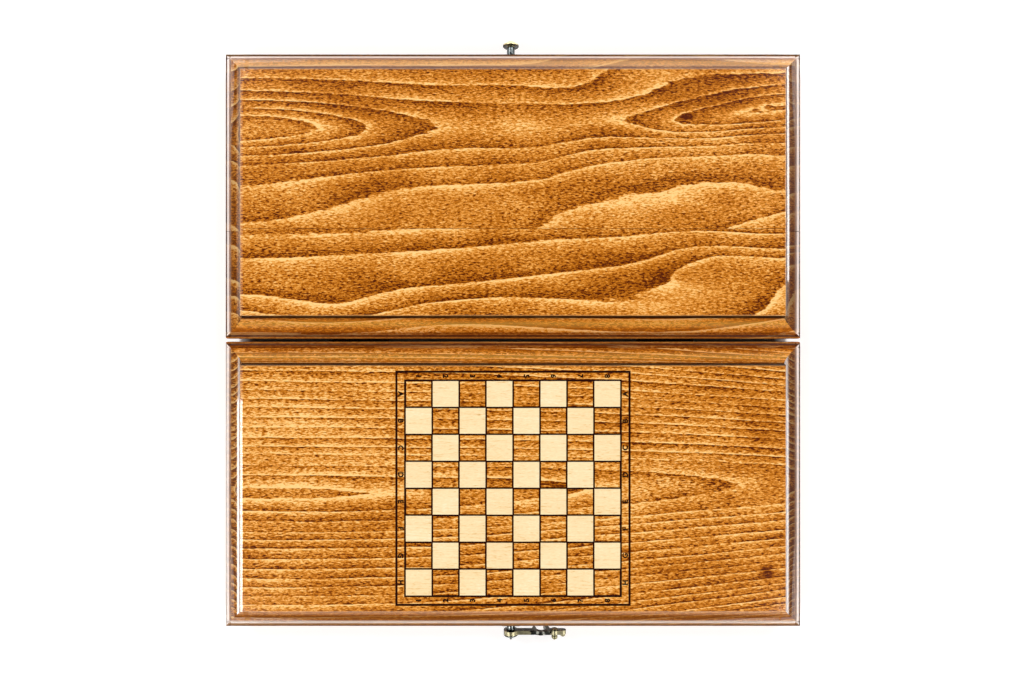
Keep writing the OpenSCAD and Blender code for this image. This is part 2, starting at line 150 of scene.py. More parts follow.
# %% [markdown]
# ## How far from the heart
#
# A board is cut from a tree whose yearly rings run round the pith, the heart line of the trunk.
# Where the saw passes close to the heart, the rings come out as nested arches, and where it
# passes further off, as long lines. A picture of grain would look wrong on an edge, so the rings
# are worked out in space: how far is this point from the heart line, and how many rings is that?
# The heart line wanders along the board, so it is given at a few places: how far along, how far
# across, how deep, and how much the rings fan out there. Places where the tree grew unevenly
# lift or lower the rings, and slow and quick waves, both long along the grain, bend them.
#
# A board whose rings curve up towards its face shows them drawn together where a moulding cuts
# down through them. That is lean.

# %% The distance from the heart line
SPAN = 400.0  # the length of board over which a heart line is given

# A curve node works from 0 to 1. For each measure of the heart line: its column, its range, and
# where zero lies in the curve
HEART_MEASURES = ((1, 400.0, 0.5), (2, 100.0, 0.0), (3, 4.0, 0.0))

# Length and width of each kind of wave, how far it swings the rings, and its roughness
WAVES = ((90, 26, 3.0, 0.5), (9, 2.6, 1.6, 0.6))


def heart_distance(tree, board, heart, lifts, waves, lean):
    """How far a point is from the heart line. Waves is how strong the waves are, and lean how far
    the rings draw together for each millimetre of depth."""
    along, across, through = add_node(tree, "ShaderNodeSeparateXYZ", {0: board}).outputs
    share = add_node(tree, "ShaderNodeMath", {0: along, 1: 1 / SPAN, 2: 0.5},
                     operation="MULTIPLY_ADD")
    line = []
    for column, reach, zero in HEART_MEASURES:
        curve = add_node(tree, "ShaderNodeFloatCurve", {"Value": share}, points=[
            (h[0] / SPAN + 0.5, h[column] / reach + zero) for h in heart])
        line.append(add_node(tree, "ShaderNodeMath", {0: curve, 1: reach, 2: -reach * zero},
                             operation="MULTIPLY_ADD"))
    sideways, deep, fan = line
    beside = add_node(tree, "ShaderNodeMath", {0: across, 1: sideways}, operation="SUBTRACT")
    beside = add_node(tree, "ShaderNodeMath", {0: beside, 1: fan}, operation="DIVIDE")
    below = add_node(tree, "ShaderNodeMath", {0: deep, 1: through}, operation="ADD")
    to_heart = add_node(tree, "ShaderNodeCombineXYZ", {"Y": beside, "Z": below})
    radius = add_node(tree, "ShaderNodeVectorMath", {0: to_heart},
                      operation="LENGTH").outputs["Value"]
    radius = add_node(tree, "ShaderNodeMath", {0: through, 1: -lean, 2: radius},
                      operation="MULTIPLY_ADD")
    for x, y, long, wide, amount in lifts:
        far = spot_distance(tree, board, x, y, long, wide)
        push = add_node(tree, "ShaderNodeMapRange", {"Value": far, "To Min": amount, "To Max": 0},
                        interpolation_type="SMOOTHSTEP")
        radius = add_node(tree, "ShaderNodeMath", {0: radius, 1: push}, operation="ADD")
    for long, wide, swing, rough in WAVES:
        wave = stretched_noise(tree, board, (long, wide, wide), Detail=2, Roughness=rough)
        wave = add_node(tree, "ShaderNodeMath", {
            0: wave, 1: swing * waves, 2: -swing * waves / 2}, operation="MULTIPLY_ADD")
        radius = add_node(tree, "ShaderNodeMath", {0: radius, 1: wave}, operation="ADD")
    return radius


print("measures of a heart line, with its place along the board:", 1 + len(HEART_MEASURES))

# %% [markdown]
# ## From distance to rings
#
# The staves get a list of ring widths, each with how bold the ring is. For the other boards one
# width does, which drifts from year to year, with a boldness by chance. Each ring starts pale,
# in the spring, and darkens until the winter, where it stops short.

# %% Rings and their seasons
DRIFT_YEARS = 4  # the years over which a ring width drifts
FADING = (48, 11, 11)  # size of the stretches over which a ring fades and comes back
BESIDE = (0, 0, 9)  # keeps them from following the clouds of the stain

# How pale the wood is through a year, from spring to winter
GROWTH = [(0, 0.96), (0.05, 0.9), (0.14, 0.68), (0.4, 0.5), (0.75, 0.34), (0.9, 0.17),
          (0.955, 0.22), (1, 0.9)]


def listed_rings(tree, radius, rings):
    """Ring number and boldness, by a list of ring widths with how bold each is."""
    edges = [sum(width for width, bold in rings[:i]) for i in range(len(rings) + 1)]
    share = add_node(tree, "ShaderNodeMath", {0: radius, 1: 1 / edges[-1]}, operation="MULTIPLY")
    share = add_node(tree, "ShaderNodeFloatCurve", {"Value": share}, points=[
        (edge / edges[-1], i / len(rings)) for i, edge in enumerate(edges)])
    levels = [bold for width, bold in rings] + [rings[-1][1]]
    boldness = add_node(tree, "ShaderNodeValToRGB", {"Fac": share}, stops=[
        (i / len(rings), [bold] * 3 + [1]) for i, bold in enumerate(levels)])
    boldness.color_ramp.interpolation = "CONSTANT"
    count = add_node(tree, "ShaderNodeMath", {0: share, 1: len(rings)}, operation="MULTIPLY")
    return count, boldness


def even_rings(tree, radius, width, uneven):
    """Ring number and boldness, by one ring width that drifts by uneven rings."""
    drift = add_node(tree, "ShaderNodeMath", {0: radius, 1: 1 / (DRIFT_YEARS * width)},
                     operation="MULTIPLY")
    drift = add_node(tree, "ShaderNodeTexNoise", {"W": drift, "Scale": 1, "Detail": 1},
                     noise_dimensions="1D")
    count = add_node(tree, "ShaderNodeMath", {0: radius, 1: 1 / width}, operation="MULTIPLY")
    count = add_node(tree, "ShaderNodeMath", {0: drift, 1: uneven, 2: count},
                     operation="MULTIPLY_ADD")
    year = add_node(tree, "ShaderNodeMath", {0: count}, operation="FLOOR")
    boldness = add_node(tree, "ShaderNodeTexWhiteNoise", {"W": year}, noise_dimensions="1D")
    boldness = add_node(tree, "ShaderNodeMapRange", {
        "Value": boldness, "To Min": 0.35, "To Max": 1.0})
    return count, boldness


def ring_tone(tree, board, count, boldness, contrast, cut):
    """How much the rings lighten or darken a point. They fade and come back along the board, and
    cut makes them bolder."""
    season = add_node(tree, "ShaderNodeMath", {0: count}, operation="FRACT")
    growth = add_node(tree, "ShaderNodeFloatCurve", {"Value": season}, points=GROWTH)
    fading = stretched_noise(tree, board, FADING, BESIDE, Detail=1)
    strength = add_node(tree, "ShaderNodeMapRange", {
        "Value": fading, "From Min": 0.3, "From Max": 0.65, "To Min": 0.45 * contrast,
        "To Max": 1.1 * contrast})
    for share in (boldness, cut):
        strength = add_node(tree, "ShaderNodeMath", {0: strength, 1: share},
                            operation="MULTIPLY")
    ring = add_node(tree, "ShaderNodeMath", {0: growth, 1: 0.5}, operation="SUBTRACT")
    return add_node(tree, "ShaderNodeMath", {0: ring, 1: strength}, operation="MULTIPLY")


print("stages of a ring's year:", len(GROWTH))

# %% [markdown]
# ## Beech, stained and varnished
#
# Over the rings lie fine dark flecks, the rays of the beech, along the grain. The stain is amber,
# taken up in clouds and along a fine fibre. A knot took more of it, and broad areas took more or
# less. Where a moulding cuts a slope through leaning rings, its end grain takes up more as well.
#
# A clear coat of varnish lies over it all. It is what shines, so the wood under it hardly does.
# It sinks a little over open pores, and has slight waves of its own.

# %% The beech recipe
AMBER = ["521b00", "803a00", "a55a04", "c37216", "dc8d33", "f2ad55", "ffd086"]
MIDDLE_TONE = 0.68  # where plain wood lies among its tones, from 0 for the darkest to 1

# The blotches of each noise, in mm along, across and through the board
CLOUDS, FIBRE = (60, 26, 26), (2.6, 0.8, 0.8)
APART = (7, 3, 5)  # keeps the fibre from following the clouds
SLOPE = (-0.3, -2.0)  # depths between which a cut grows bolder
PATCH_RIM = (0.5, 1.4)  # a patch is full within the first share of its size, gone by the second


def beech(name, tones, heart, rings, centre=(0, 0, 0), turn=0.0, uneven=2.2, lifts=(),
          patches=(), waves=1.0, contrast=1.0, fleck=1.0, sparse=0.0, fine=1.0, ray=(2.7, 1.0),
          lean=0.0, varnish=1.0, gloss=0.07, extra=None):
    """A board of beech: its tones from dark to light, its heart line, and its rings as a list or
    as one width, which drifts by uneven rings. Centre and turn are where the board is and how its
    grain runs. Waves, contrast, fleck and fine are the strength of the waves, rings, flecks and
    fibre, sparse thins the flecks out, ray is the length and width of one, and lean is how far
    the rings draw together with depth. Varnish is how much of it there is, gloss is its
    roughness, and extra is a function that adds what else is on the board's face."""
    finish, tree = new_finish(name)
    board = place_in_mm(tree, centre, turn)
    cut = 1.0
    if lean:
        through = add_node(tree, "ShaderNodeSeparateXYZ", {0: board}).outputs["Z"]
        cut = add_node(tree, "ShaderNodeMapRange", {
            "Value": through, "From Min": SLOPE[0], "From Max": SLOPE[1], "To Min": 1.0,
            "To Max": 1.0 + 0.8 * lean})
    radius = heart_distance(tree, board, heart, lifts, waves, lean)
    if isinstance(rings, list):
        count, boldness = listed_rings(tree, radius, rings)
    else:
        count, boldness = even_rings(tree, radius, rings, uneven)
    ring = ring_tone(tree, board, count, boldness, contrast, cut)

    rays = stretched_noise(tree, board, (ray[0], ray[1], ray[1]), Detail=2, Roughness=0.65,
                           Distortion=0.5)
    flecks = add_node(tree, "ShaderNodeMapRange", {
        "Value": rays, "From Min": 0.46 + sparse, "From Max": 0.76 + sparse,
        "To Max": 0.95 * fleck})
    dark_part = add_node(tree, "ShaderNodeMath", {0: ring, 1: -1.1, 2: 0.8},
                         operation="MULTIPLY_ADD")
    for share in (dark_part, cut):
        flecks = add_node(tree, "ShaderNodeMath", {0: flecks, 1: share}, operation="MULTIPLY")
    cloud = stretched_noise(tree, board, CLOUDS, Detail=2)
    cloud = add_node(tree, "ShaderNodeMath", {0: cloud, 1: 0.6, 2: -0.3},
                     operation="MULTIPLY_ADD")
    fibre = stretched_noise(tree, board, FIBRE, APART, Detail=3, Roughness=0.7)
    fibre_light = add_node(tree, "ShaderNodeMath", {0: fibre, 1: 1.7 * fine, 2: -0.85 * fine},
                           operation="MULTIPLY_ADD")
    tone = add_node(tree, "ShaderNodeMath", {0: ring, 1: MIDDLE_TONE}, operation="ADD")
    for part, how in ((cloud, "ADD"), (fibre_light, "ADD"), (flecks, "SUBTRACT")):
        tone = add_node(tree, "ShaderNodeMath", {0: tone, 1: part}, operation=how)
    for x, y, long, wide, amount in patches:
        far = spot_distance(tree, board, x, y, long, wide)
        far = add_node(tree, "ShaderNodeMath", {0: rays, 1: 0.9, 2: far},
                       operation="MULTIPLY_ADD")
        push = add_node(tree, "ShaderNodeMapRange", {
            "Value": far, "From Min": PATCH_RIM[0], "From Max": PATCH_RIM[1],
            "To Min": amount, "To Max": 0}, interpolation_type="SMOOTHSTEP")
        tone = add_node(tree, "ShaderNodeMath", {0: tone, 1: push}, operation="ADD")
    wood = add_node(tree, "ShaderNodeValToRGB", {"Fac": tone}, stops=[
        (i / (len(tones) - 1), colour(t)) for i, t in enumerate(tones)])

    film_in = {"Height": fibre, "Strength": 0.3, "Distance": 0.03 * MM}
    if extra:
        wood, varnish, rolled = extra(tree, board, wood)
        film_in["Normal"] = add_node(tree, "ShaderNodeBump", {
            "Height": rolled, "Strength": 1.0, "Distance": MM})
    pores = add_node(tree, "ShaderNodeMath", {0: tone, 1: 0.4}, operation="MULTIPLY")
    relief = add_node(tree, "ShaderNodeBump", {
        "Height": pores, "Strength": 0.4, "Distance": 0.05 * MM})
    film = add_node(tree, "ShaderNodeBump", film_in)
    dull = add_node(tree, "ShaderNodeMapRange", {"Value": rays, "To Min": 0.42, "To Max": 0.6})
    shader = add_node(tree, "ShaderNodeBsdfPrincipled", {
        "Base Color": wood, "Roughness": dull, "IOR": 1.5, "Specular IOR Level": 0.05,
        "Normal": relief, "Coat Weight": varnish, "Coat Roughness": gloss, "Coat IOR": 1.5,
        "Coat Normal": film})
    add_node(tree, "ShaderNodeOutputMaterial", {"Surface": shader})
    print("finish:", name)
    return finish


# %% [markdown]
# ## The moulding's painted light, stain and wear
#
# Along a moulding its colour holds painted light and shade besides stain and wear. The groove,
# the outer edge of the bead and the corner under the field are painted dark, a painted shade with
# some stain in it. The crown of the bead and the field's edge are painted pale, partly wear and
# partly a painted highlight. The hollow is painted lighter or darker, as painted light and shade.
# All run at a fixed distance from the panel's edge, so they are a colour ramp across that
# distance, with alpha as how much of it covers the wood. Each side of a panel has a ramp of its
# own: the hinge side is painted dark, a painted shade, the ends and the front have a painted
# highlight along the bead, and the right end is painted darker and greyer, a painted shade. The
# chess panel's ends carry painted glare strips as well, paler than those of the plain one.

# %% Bands of painted light, stain and wear across the moulding
MOULD = 18.0  # the ramps run this far in from the panel's edge, in mm


def hinge_bands(arris):
    """The hinge side: its groove and the foot of the field's edge painted dark, a painted shade,
    and its hollow painted lighter towards the field, a painted light with some stain; arris is
    where its field's edge shows from above.
    """
    return [
        (0.0, "5a3214", 0.8), (0.6, "b87430", 0.7), (1.0, "8a4a18", 0.85), (1.5, "401602", 1.0),
        (2.5, "4a1c02", 1.0), (3.2, "843e04", 0.8), (4.8, "b05c06", 0.5), (7.0, "d67810", 0.4),
        (8.2, "ffa638", 0.4), (10.6, "ffba4c", 0.5), (12.5, "fc9c2e", 0.45),
        (arris - 1.0, "ac6420", 0.45), (arris - 0.5, "1a0601", 1.0), (arris + 0.7, "100400", 1.0),
        (arris + 1.0, "d8a264", 0.6), (arris + 1.8, "d09858", 0.0)]


def worn(bands, start, end, shade, cover):
    """The same bands, but those between two distances painted another shade, here a pale painted
    glare.
    """
    return [(e, shade, cover) if start <= e < end else (e, c, a) for e, c, a in bands]


# Each list runs from the panel's edge inwards: the dark outer edge of the bead is painted shade,
# its near-white crown a painted highlight over some wear, the dark stretch before the field
# painted shade, and the pale field's edge partly wear and partly a painted highlight.
left_bands = [
    (0.0, "2c1a10", 0.9), (1.6, "4a3020", 0.9), (2.1, "fff4ee", 0.95), (3.2, "f8e8de", 0.9),
    (4.0, "c8a894", 0.75), (4.8, "a06c44", 0.6), (5.8, "8c5422", 0.4), (8.0, "8c5018", 0.3),
    (9.4, "a87038", 0.35), (11.0, "583418", 0.7), (12.2, "583418", 0.6), (15.2, "583418", 0.7),
    (15.7, "b88c60", 0.5), (16.6, "c89060", 0.0)]
# The right end is painted darker and greyer than the left: painted shade.
right_bands = [
    (0.0, "2c2420", 0.9), (1.6, "4a3c34", 0.9), (2.1, "fff4ee", 0.95), (3.2, "f8e8de", 0.9),
    (4.0, "b89c8c", 0.85), (4.8, "785440", 0.85), (5.8, "583626", 0.8), (8.0, "5a3624", 0.75),
    (9.4, "6c4830", 0.75), (11.0, "3c2214", 0.85), (15.2, "3c2214", 0.85), (15.7, "b88c60", 0.5),
    (16.6, "c89060", 0.0)]
# On the plain front the light stretch in the hollow is painted light; on the chess front the dark
# stretch in the hollow is painted shade.
plain_front_bands = [
    (0.0, "2a1406", 0.95), (1.8, "4a2a12", 0.9), (2.3, "a87c58", 0.85), (2.8, "fff4ec", 1.0),
    (3.5, "f8e0d2", 1.0), (4.2, "c89c80", 0.85), (4.9, "c08e60", 0.6), (6.2, "fcc080", 0.7),
    (8.7, "fcc080", 0.65), (10.0, "a8744a", 0.6), (11.0, "5c3012", 0.85), (15.2, "5c3012", 0.85),
    (15.7, "c08a58", 0.5), (16.6, "c89058", 0.0)]
chess_front_bands = [
    (0.0, "5a3a22", 0.9), (1.8, "7a5434", 0.9), (2.8, "a87848", 0.85), (3.3, "fff6ee", 1.0),
    (4.3, "fff0e4", 1.0), (4.8, "b07c50", 0.75), (5.5, "a0602a", 0.7), (7.2, "844606", 0.85),
    (8.8, "a86224", 0.7), (10.8, "cc8030", 0.65), (15.2, "c88840", 0.6), (15.7, "e0a868", 0.5),
    (16.6, "c88c48", 0.0)]
# The chess panel's ends are painted paler: a painted highlight on the left end's bead, and
# painted glare strips in the hollows of both ends.
chess_left_bands = worn(worn(left_bands, 0, 2, "c4b8b0", 0.9), 11, 12, "e8dcd4", 0.85)
chess_right_bands = worn(right_bands, 10, 15.5, "d4ccc8", 0.8)
plain_bands = (left_bands, right_bands, plain_front_bands, hinge_bands(14.7))
chess_bands = (chess_left_bands, chess_right_bands, chess_front_bands, hinge_bands(15.3))
print("bands on the sides of a panel:", [len(side) for side in plain_bands])

# %% [markdown]
# ## The varnish on the moulding
#
# The varnish follows the moulding too. It is thin on the outer bead and in the hollow, where it
# ran off before it set, and over the field's edge on the hinge side. It rolls off over both ends
# of the field, where it catches the light in a narrow strip. The roll-off is too slight to change
# the shape, so it is a bump.

# %% Painted light, wear and varnish on the moulding
plain_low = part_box("plain_panel_narrow_stave")[0]
plain_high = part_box("plain_panel_wide_stave")[1]
half_x = (plain_high.x - plain_low.x) / 2 / MM
half_y = (plain_high.y - plain_low.y) / 2 / MM
SAME = 0.01  # two distances this close are the same
ROLL_START = 14.3  # where the varnish starts to roll off, seen from the ends of a panel


def moulding_light_and_wear(tree, board, wood, hinge, bands):
    """Painted highlights and shade, stain and wear along a panel's moulding, over the wood, how
    much varnish it has left, and how the varnish rolls off at the ends of the field. Hinge is the
    side of its hinges, 1 or -1 along Y, and bands are for the left, right, front and hinge side."""
    x, y = add_node(tree, "ShaderNodeSeparateXYZ", {0: board}).outputs[:2]
    from_left = add_node(tree, "ShaderNodeMath", {0: x, 1: half_x}, operation="ADD")
    from_right = add_node(tree, "ShaderNodeMath", {0: half_x, 1: x}, operation="SUBTRACT")
    from_hinge, from_front = [
        add_node(tree, "ShaderNodeMath", {0: y, 1: way, 2: half_y}, operation="MULTIPLY_ADD")
        for way in (-hinge, hinge)]
    nearest = from_hinge
    for inward in (from_front, from_left, from_right):
        nearest = add_node(tree, "ShaderNodeMath", {0: nearest, 1: inward}, operation="MINIMUM")
    patchy = stretched_noise(tree, board, (14, 14, 14), Detail=3)
    patchy = add_node(tree, "ShaderNodeMapRange", {
        "Value": patchy, "From Min": 0.3, "From Max": 0.7, "To Min": 0.9, "To Max": 1.0})
    for inward, stripes in zip((from_left, from_right, from_front, from_hinge), bands):
        share = add_node(tree, "ShaderNodeMath", {0: inward, 1: 1 / MOULD}, operation="MULTIPLY")
        ramp = add_node(tree, "ShaderNodeValToRGB", {"Fac": share}, stops=[
            (e / MOULD, colour(c, a)) for e, c, a in stripes])
        here = add_node(tree, "ShaderNodeMath", {0: inward, 1: nearest, 2: SAME},
                        operation="COMPARE")
        cover = ramp.outputs["Alpha"]
        for part in (patchy, here):
            cover = add_node(tree, "ShaderNodeMath", {0: cover, 1: part}, operation="MULTIPLY")
        wood = add_node(tree, "ShaderNodeMix", {
            "Factor": cover, "A": wood, "B": ramp.outputs["Color"]}, data_type="RGBA")
    varnish = add_node(tree, "ShaderNodeMapRange", {
        "Value": nearest, "From Min": 1.5, "From Max": 2.2, "To Min": 0.1, "To Max": 1.0})
    for inward, start, end, least in ((nearest, 8.0, 9.2, 0.3), (from_hinge, 15.1, 16.3, 0.04)):
        full = add_node(tree, "ShaderNodeMapRange", {
            "Value": inward, "From Min": start, "From Max": end, "To Min": least, "To Max": 1.0})
        varnish = add_node(tree, "ShaderNodeMath", {0: varnish, 1: full}, operation="MINIMUM")
    left_roll, right_roll = [
        add_node(tree, "ShaderNodeMapRange", {
            "Value": inward, "From Min": ROLL_START, "From Max": end, "To Min": drop,
            "To Max": 0})
        for inward, end, drop in ((from_left, 17.4, -2.65), (from_right, 15.9, -1.35))]
    rolled = add_node(tree, "ShaderNodeMath", {0: left_roll, 1: right_roll}, operation="ADD")
    return wood, varnish, rolled


print("half a panel, mm:", round(half_x, 2), round(half_y, 2))

# %% [markdown]
# ## The glue seam
#
# A board as wide as a tray would cup, so the plain panel is glued up from two staves. Their
# grain doesn't match, and the stain has drawn into the joint as a hair-thin dark line.

# %% The seam between the staves
plain_middle = (0, (plain_low.y + plain_high.y) / 2, plain_high.z)
seam = (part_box("plain_panel_narrow_stave")[1].y - plain_middle[1]) / MM


def seam_and_moulding(tree, board, wood):
    """The dark glue line, over the moulding's painted light, stain and wear, and the wood."""
    wood, varnish, rolled = moulding_light_and_wear(tree, board, wood, -1, plain_bands)
    across = add_node(tree, "ShaderNodeSeparateXYZ", {0: board}).outputs["Y"]
    away = add_node(tree, "ShaderNodeMath", {0: across, 1: seam}, operation="SUBTRACT")
    away = add_node(tree, "ShaderNodeMath", {0: away}, operation="ABSOLUTE")
    stretch = stretched_noise(tree, board, (30, 30, 30), Detail=2)
    most = add_node(tree, "ShaderNodeMapRange", {
        "Value": stretch, "From Min": 0.4, "From Max": 0.6, "To Min": 0.2, "To Max": 0.8})
    line = add_node(tree, "ShaderNodeMapRange", {
        "Value": away, "From Min": 0.1, "From Max": 0.4, "To Min": 1, "To Max": 0})
    line = add_node(tree, "ShaderNodeMath", {0: line, 1: most}, operation="MULTIPLY")
    wood = add_node(tree, "ShaderNodeMix", {"Factor": line, "A": wood, "B": colour("4a220a")},
                    data_type="RGBA")
    return wood, varnish, rolled


print("seam, mm from the panel's middle:", round(seam, 2))

# %% [markdown]
# ## The burnt lines of the chessboard
#
# The lines between the squares and the frame round them are burnt into the wood with a hot
# scriber. The CAD model has their grooves. Here the grooves' floors are charred: the colour
# follows the distance to the nearest line of an 18.2 mm grid, or to the frame.

# %% Burnt lines over the wood
SQUARE = 18.2
BOARD_HALF = 4 * SQUARE
FRAME_HALF = BOARD_HALF + 5.9
CHAR, CHAR_FADE = 0.6, 0.3  # how far the char reaches from a line's middle, and fades out


def burnt_lines(tree, board, wood):
    """Charred grid and frame lines, over the moulding's painted light, stain and wear, and the
    wood.
    """
    wood, varnish, rolled = moulding_light_and_wear(tree, board, wood, 1, chess_bands)
    place = add_node(tree, "ShaderNodeVectorMath", {0: board}, operation="ABSOLUTE")
    x, y = add_node(tree, "ShaderNodeSeparateXYZ", {0: place}).outputs[:2]
    far = add_node(tree, "ShaderNodeMath", {0: x, 1: y}, operation="MAXIMUM")
    to_column, to_row = [
        add_node(tree, "ShaderNodeMath", {0: side, 1: SQUARE / 2}, operation="PINGPONG")
        for side in (x, y)]
    grid = add_node(tree, "ShaderNodeMath", {0: to_column, 1: to_row}, operation="MINIMUM")
    outside = add_node(tree, "ShaderNodeMath", {0: far, 1: BOARD_HALF}, operation="SUBTRACT")
    grid = add_node(tree, "ShaderNodeMath", {0: grid, 1: outside}, operation="MAXIMUM")
    frame_line = add_node(tree, "ShaderNodeMath", {0: far, 1: FRAME_HALF}, operation="SUBTRACT")
    frame_line = add_node(tree, "ShaderNodeMath", {0: frame_line}, operation="ABSOLUTE")
    nearest = add_node(tree, "ShaderNodeMath", {0: grid, 1: frame_line}, operation="MINIMUM")
    char = add_node(tree, "ShaderNodeMapRange", {
        "Value": nearest, "From Min": CHAR, "From Max": CHAR + CHAR_FADE,
        "To Min": 1.0, "To Max": 0.0})
    wood = add_node(tree, "ShaderNodeMix", {"Factor": char, "A": wood, "B": colour("240602")},
                    data_type="RGBA")
    varnish = add_node(tree, "ShaderNodeMath", {0: varnish, 1: char}, operation="SUBTRACT",
                       use_clamp=True)
    return wood, varnish, rolled


print("chessboard, mm:", 2 * BOARD_HALF, "within a frame of", 2 * FRAME_HALF)

# %% [markdown]
# ## Each board's own grain
#
# The two panels are cut from different boards. The plain one passes close to the heart at both
# ends, so its arches open to the left and to the right. The chess one lies nearly in line with
# the heart, so its rings are long lines that draw together to the right. The walls and the
# boards inside are narrow pieces with plain, close grain. The side walls run the other way.

# %% Finishes for the panels, walls and boards
wide_stave_beech = beech(
    "wide stave, stained beech under gloss varnish", AMBER, centre=plain_middle,
    heart=[(-200, 42.9, 0.1, 1), (-120, 43.9, 10.8, 1), (-56, 44.5, 19.0, 1), (0, 45.5, 21.3, 1),
           (40, 46.9, 24.3, 1), (80, 46.5, 19.4, 1), (120, 48.1, 11.9, 1), (160, 53.3, 8.8, 1),
           (200, 57.8, 8.6, 1)],
    rings=[(9, 0.9), (4.5, 1), (5.6, 1), (6.3, 1), (8.6, 0.85), (10, 0.7), (13, 0.9), (11, 0.9),
           (12, 0.8), (12, 0.8)],
    lifts=[(-180, -30, 170, 50, -22.1), (80, -40, 170, 50, -17.7), (140, 20, 70, 34, 16.2),
           (-40, -30, 110, 40, -18.2), (80, 20, 70, 34, 11.6), (100, 100, 110, 40, -18.8),
           (40, 40, 70, 34, -4.6), (100, -10, 70, 34, 5.8), (200, 30, 70, 34, 7.7)],
    patches=[(118, 51, 7, 3, -0.4), (-105, 61, 95, 26, -0.12), (140, 64, 70, 27, -0.19),
             (-90, 10, 58, 32, -0.13), (115, 22, 85, 25, 0.15)],
    lean=1.0, extra=seam_and_moulding)
narrow_stave_beech = beech(
    "narrow stave, stained beech under gloss varnish", AMBER, centre=plain_middle,
    heart=[(-200, -27, 8.6, 1), (-100, -24, 8.6, 1), (0, -15.8, 7.4, 1), (100, -3.4, 0.8, 1),
           (200, 4.5, 26.1, 1)],
    rings=[(9, 0.6), (11, 0.9), (23, 1), (11, 1), (12, 1), (14, 0.9), (15, 0.9)],
    lifts=[(120, -90, 170, 40, -25.7), (180, -20, 110, 28, -22.5), (140, -40, 70, 28, 11.2),
           (-120, -80, 70, 28, -8.8), (80, -20, 70, 28, -5.4)],
    patches=[(90, -62, 75, 32, -0.17)], lean=1.0, extra=seam_and_moulding)
chess_low, chess_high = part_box("chess_panel")
chess_middle = (0, (chess_low.y + chess_high.y) / 2, chess_high.z)
chess_panel_beech = beech(
    "chess panel, stained beech under gloss varnish", AMBER, centre=chess_middle,
    heart=[(-200, -3, 7, 1), (-60, -3, 9, 0.98), (60, 0, 15, 0.9), (200, 3, 23, 0.76)],
    rings=6.1, uneven=1.1, waves=0.75, contrast=1.2, ray=(3.2, 1.05),
    patches=[(171.5, -56, 7.5, 7.5, -0.6), (-150, 30, 150, 100, 0.17), (40, 0, 150, 90, 0.1),
             (0, -91, 240, 13, -0.2), (-112, -22, 50, 28, -0.1), (130, -62, 75, 28, -0.14),
             (112, 18, 42, 26, 0.09), (172, 30, 30, 80, -0.07), (132, 4, 46, 10, 0.17)],
    lean=2.0, extra=burnt_lines)
# The back walls face each other across the gap between the trays. They take only the darker amber
# tones, a painted shade for that gap, and no varnish.
back_wall_beech_with_painted_shade = beech(
    "back walls, stained beech without varnish", AMBER[:4],
    heart=[(-200, 0, 30, 1), (200, 0, 22, 1)], rings=3.4, contrast=0.7, varnish=0.0)
wall_beech = beech(
    "front walls, stained beech", AMBER, heart=[(-200, 0, 30, 1), (200, 0, 22, 1)], rings=3.4,
    contrast=0.7, gloss=0.15)
side_wall_beech = beech(
    "side walls, stained beech", AMBER, heart=[(-200, 20, 30, 1), (200, 12, 22, 1)], rings=3.4,
    centre=(0.2, 0, 0), turn=math.pi / 2, contrast=0.7, gloss=0.15)
board_beech = beech(
    "boards inside the trays, clear beech", ["8a5a2c", "b98550", "d3a36c", "e6bf8c", "f3d8ae"],
    heart=[(-200, 0, 60, 1), (200, 0, 45, 1)], rings=5.0, contrast=0.5, gloss=0.3)
pale_inlay = beech(
    "pale inlay, unstained maple", ["d8a35f", "eec88c", "f8d8a4", "fbe2b2", "ffefcc"],
    heart=[(-200, 0, 70, 1), (200, 0, 60, 1)], rings=2.3, contrast=0.35, fleck=1.1, sparse=0.1,
    fine=0.5, ray=(7.0, 0.8))
dark_inlay = beech(
    "dark inlay, walnut stain", ["2a1208", "451f0f", "5d2d16", "75401f", "8d5530"],
    heart=[(-200, 0, 60, 1), (200, 0, 50, 1)], rings=4.0, contrast=0.5, gloss=0.25)

# %% [markdown]
# ## Brass and blackened bronze
#
# Small case fittings are turned or cast in brass and then darkened in a bath. The dark skin wears
# off where fingers and the other parts touch it, which is on every edge. The Bevel node finds
# the edges: it gives a rounded normal there, and where that differs from the true one, the metal
# is worn bright. A cloudy noise breaks the skin up, and tiny pits take the shine off it.
#
# The faces turned to one side are bared and painted pale. On the upper side of the stud's cap
# and the upper face of the hook this is a painted highlight; at the end of the knob, where
# fingers meet it, it is wear. The middle of the hook and the stud behind its cap are left without
# it and keep their skin.

# %% The darkened metal recipe
EDGE_SAMPLES = 6  # enough for a smooth edge, with little noise


